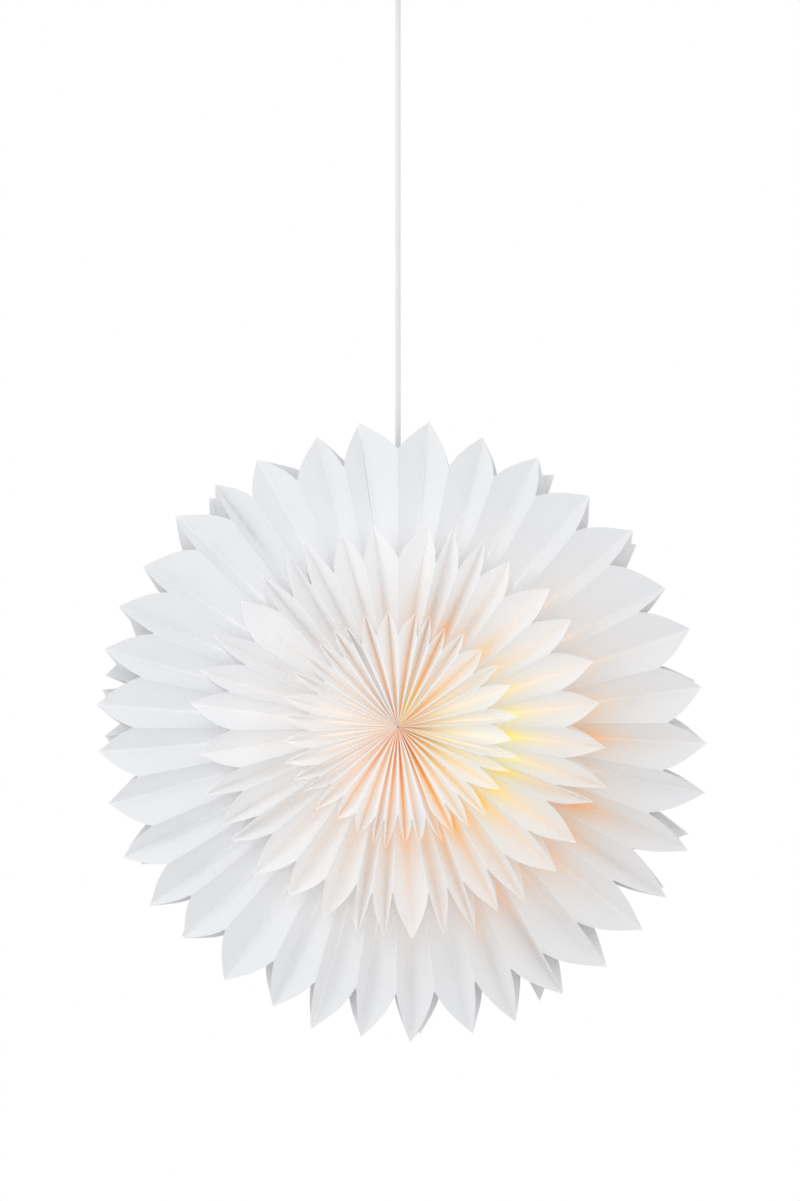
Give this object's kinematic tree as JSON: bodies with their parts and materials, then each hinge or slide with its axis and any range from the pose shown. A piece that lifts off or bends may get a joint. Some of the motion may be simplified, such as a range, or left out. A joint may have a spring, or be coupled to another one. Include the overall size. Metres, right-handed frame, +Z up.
{
  "type": "paper star pendant lamp",
  "caption": "Round pendant of glued white paper leaves cut to stepped pointed petals, with a warm lamp inside, hung on a white flex from a ceiling cup.",
  "frame": {"origin": "middle of the bracket's upper face, on the ceiling", "axes": "+Z up; the star's own axis is Y and its front faces -Y"},
  "size_m": [0.599, 0.4178, 1.0613],
  "materials": {
    "folded_paper": "matt white card, die cut, folded and glued",
    "clear_tape": "thin matt adhesive tape",
    "dried_glue": "dried glue and paper ends",
    "zinc_steel": "bright zinc plate",
    "white_plastic": "moulded white plastic, fine spark texture",
    "cup_plastic": "satin white moulded plastic",
    "white_flex": "satin white round flex",
    "holder_ceramic": "unglazed white ceramic",
    "contact_brass": "bare brass",
    "lamp_aluminium": "rolled screw cap",
    "opal_globe": "opal white, lit warm",
    "light_module": "light module with yellow phosphor dots"
  },
  "bodies": {
    "ceiling": {"ceiling_bracket": "zinc_steel", "ceiling_cup": "cup_plastic", "cup_screws": "zinc_steel", "terminal_block": "white_plastic"},
    "flex_top": {"cord_upper": "white_flex"},
    "swing_ball": {"cord_ball": "white_plastic"},
    "pendant": {"leaf_01": "folded_paper", "leaf_02": "folded_paper", "leaf_03": "folded_paper", "leaf_04": "folded_paper", "leaf_05": "folded_paper", "leaf_06": "folded_paper", "leaf_07": "folded_paper", "leaf_08": "folded_paper", "leaf_09": "folded_paper", "leaf_10": "folded_paper", "leaf_11": "folded_paper", "leaf_12": "folded_paper", "leaf_13": "folded_paper", "leaf_14": "folded_paper", "leaf_15": "folded_paper", "leaf_16": "folded_paper", "leaf_17": "folded_paper", "leaf_18": "folded_paper", "leaf_19": "folded_paper", "leaf_20": "folded_paper", "leaf_21": "folded_paper", "leaf_22": "folded_paper", "leaf_23": "folded_paper", "leaf_24": "folded_paper", "leaf_25": "folded_paper", "leaf_26": "folded_paper", "leaf_27": "folded_paper", "leaf_28": "folded_paper", "leaf_29": "folded_paper", "leaf_30": "folded_paper", "leaf_31": "folded_paper", "leaf_32": "folded_paper", "leaf_33": "folded_paper", "leaf_34": "folded_paper", "leaf_35": "folded_paper", "first_end_sheet": "folded_paper", "last_end_sheet": "folded_paper", "seam_tapes": "clear_tape", "spine_core_front": "dried_glue", "spine_core_back": "dried_glue", "hanger_bar": "zinc_steel", "cord_stop": "white_plastic", "cord_stop_screw": "zinc_steel", "cord": "white_flex", "holder_cap": "white_plastic", "cord_grip_screw": "white_plastic", "holder_shell": "white_plastic", "holder_insert": "holder_ceramic", "centre_contact": "contact_brass"},
    "lamp_tip": {"lamp_contact": "contact_brass"},
    "lamp": {"lamp_cap": "lamp_aluminium", "lamp_globe": "opal_globe", "light_module": "light_module"}
  },
  "joints": [
    {"name": "flex_twist", "type": "hinge", "parent": "ceiling", "child": "flex_top", "pos_m": [0, 0, -0.0383], "axis": [0, 0, 1], "range_deg": [-180, 180]},
    {"name": "swing_fore_aft", "type": "hinge", "parent": "flex_top", "child": "swing_ball", "pos_m": [0, 0, -0.0383], "axis": [1, 0, 0], "range_deg": [-15, 15]},
    {"name": "swing_side", "type": "hinge", "parent": "swing_ball", "child": "pendant", "pos_m": [0, 0, -0.0383], "axis": [0, 1, 0], "range_deg": [-15, 15]},
    {"name": "lamp_travel", "type": "slide", "parent": "pendant", "child": "lamp_tip", "axis": [0.309, 0, -0.9511], "range_m": [0, 0.012]},
    {"name": "lamp_turn", "type": "hinge", "parent": "lamp_tip", "child": "lamp", "pos_m": [0.00371, 0, -0.71073], "axis": [0.309, 0, -0.9511], "range_deg": [0, 1532]}
  ],
  "couplings": [
    {"joint": "lamp_turn", "follows": "lamp_travel", "rad_per_m": 2228.1}
  ]
}
